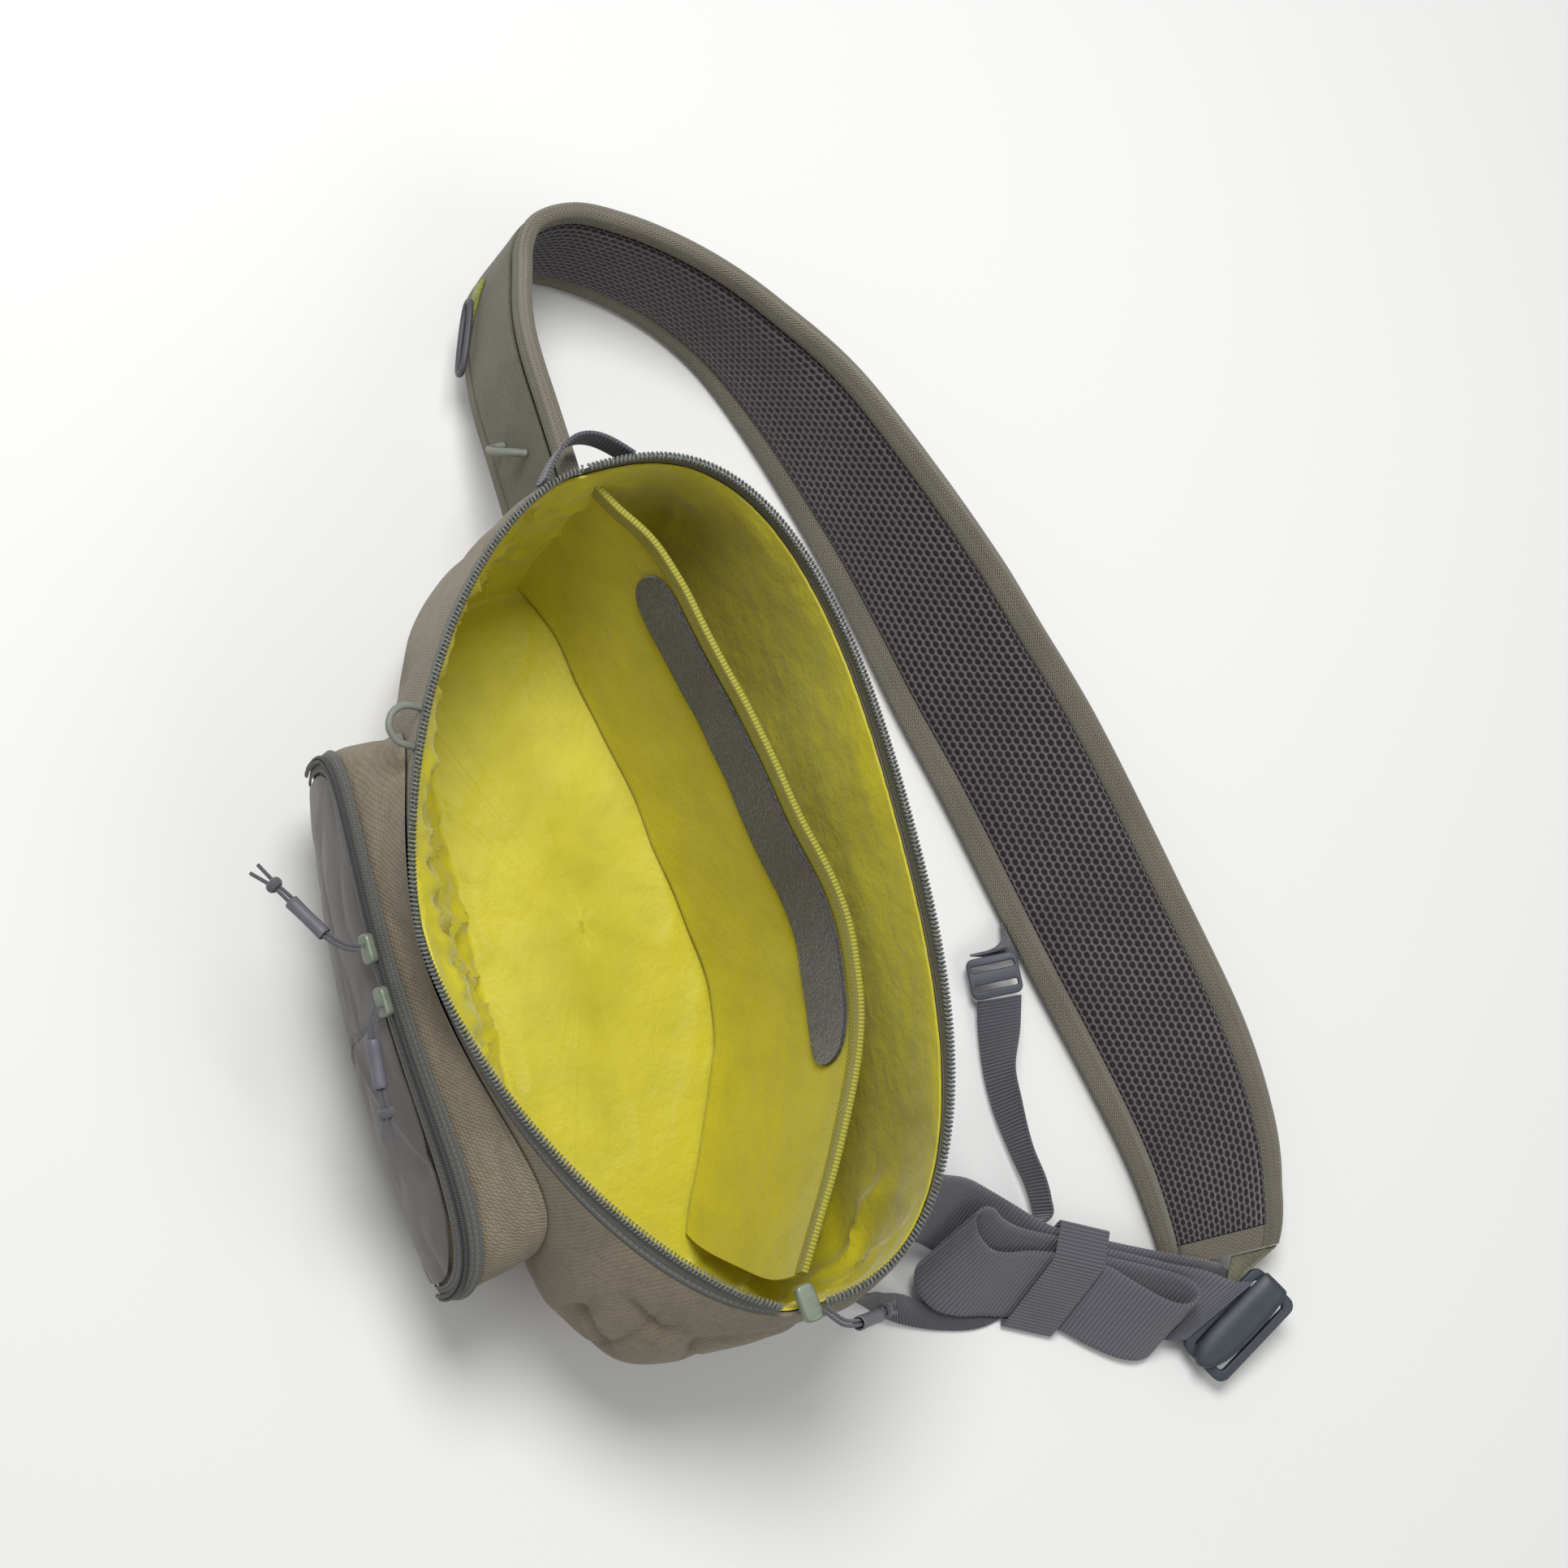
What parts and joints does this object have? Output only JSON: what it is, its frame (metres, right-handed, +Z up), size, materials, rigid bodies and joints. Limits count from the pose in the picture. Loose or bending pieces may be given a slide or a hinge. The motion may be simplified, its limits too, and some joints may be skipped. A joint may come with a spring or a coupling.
{
  "type": "fishing tackle sling bag",
  "caption": "Open-top padded sling bag with a lined compartment, a bellows front pocket, a looped mesh shoulder strap and folded buckle webbing.",
  "frame": {"origin": "centre of the bag's flat base, on the floor it stands on", "axes": "+X along the bag towards the buckle end of the strap, +Y towards the padded back panel and the strap's loop, -Y towards the front pocket, +Z up"},
  "size_m": [0.7224, 0.5579, 0.2336],
  "materials": {
    "body_fabric": "woven, matte",
    "lining_nylon": "satin nylon",
    "zip_tape": "woven",
    "zip_coil": "satin",
    "binding_yellow": "ribbed",
    "loop_fabric": "fuzzy",
    "coated_fabric": "smooth coated",
    "plush": "soft plush",
    "spacer_mesh": "open spacer mesh",
    "binding_taupe": "herringbone tape",
    "webbing": "ribbed webbing",
    "elastic": "knitted elastic",
    "slider_metal": "satin painted",
    "cord": "braided",
    "sleeve_plastic": "matte",
    "buckle_plastic": "satin",
    "tab_yellow": "woven tape",
    "ring_plastic": "satin",
    "arch_plastic": "satin"
  },
  "bodies": {
    "root": {"body_shell": "body_fabric", "lining": "lining_nylon", "zip_tape_front": "zip_tape", "zip_coil_front": "zip_coil", "zip_tape_back": "zip_tape", "zip_coil_back": "zip_coil", "inner_pocket": "lining_nylon", "inner_pocket_binding": "binding_yellow", "loop_strip": "loop_fabric", "front_pocket": "body_fabric", "front_pocket_face": "coated_fabric", "front_pocket_tape": "zip_tape", "front_pocket_coil": "zip_coil", "back_panel": "plush", "strap_mesh": "spacer_mesh", "strap_face": "body_fabric", "strap_binding_lower": "binding_taupe", "strap_binding_upper": "binding_taupe", "strap_binding_end": "binding_taupe", "webbing_main": "webbing", "webbing_surplus": "webbing", "stabiliser_webbing": "webbing", "webbing_keeper": "elastic", "main_slider": "slider_metal", "pocket_slider_a": "slider_metal", "pocket_slider_b": "slider_metal", "pull_cord_a1": "cord", "pull_cord_a2": "cord", "pull_sleeve_a": "sleeve_plastic", "pull_knot_a": "cord", "pull_cord_b1": "cord", "pull_cord_b2": "cord", "pull_sleeve_b": "sleeve_plastic", "pull_knot_b": "cord", "pull_cord_m1": "cord", "pull_cord_m2": "cord", "pull_sleeve_m": "sleeve_plastic", "pull_knot_m": "cord", "buckle_frame": "buckle_plastic", "buckle_lever": "buckle_plastic", "strap_end_tab": "body_fabric", "strap_tab": "tab_yellow", "gear_ring": "ring_plastic", "cord_arch": "arch_plastic", "small_lock": "buckle_plastic", "lock_tab": "webbing", "tool_loop": "arch_plastic", "grab_handle": "webbing"}
  },
  "joints": []
}
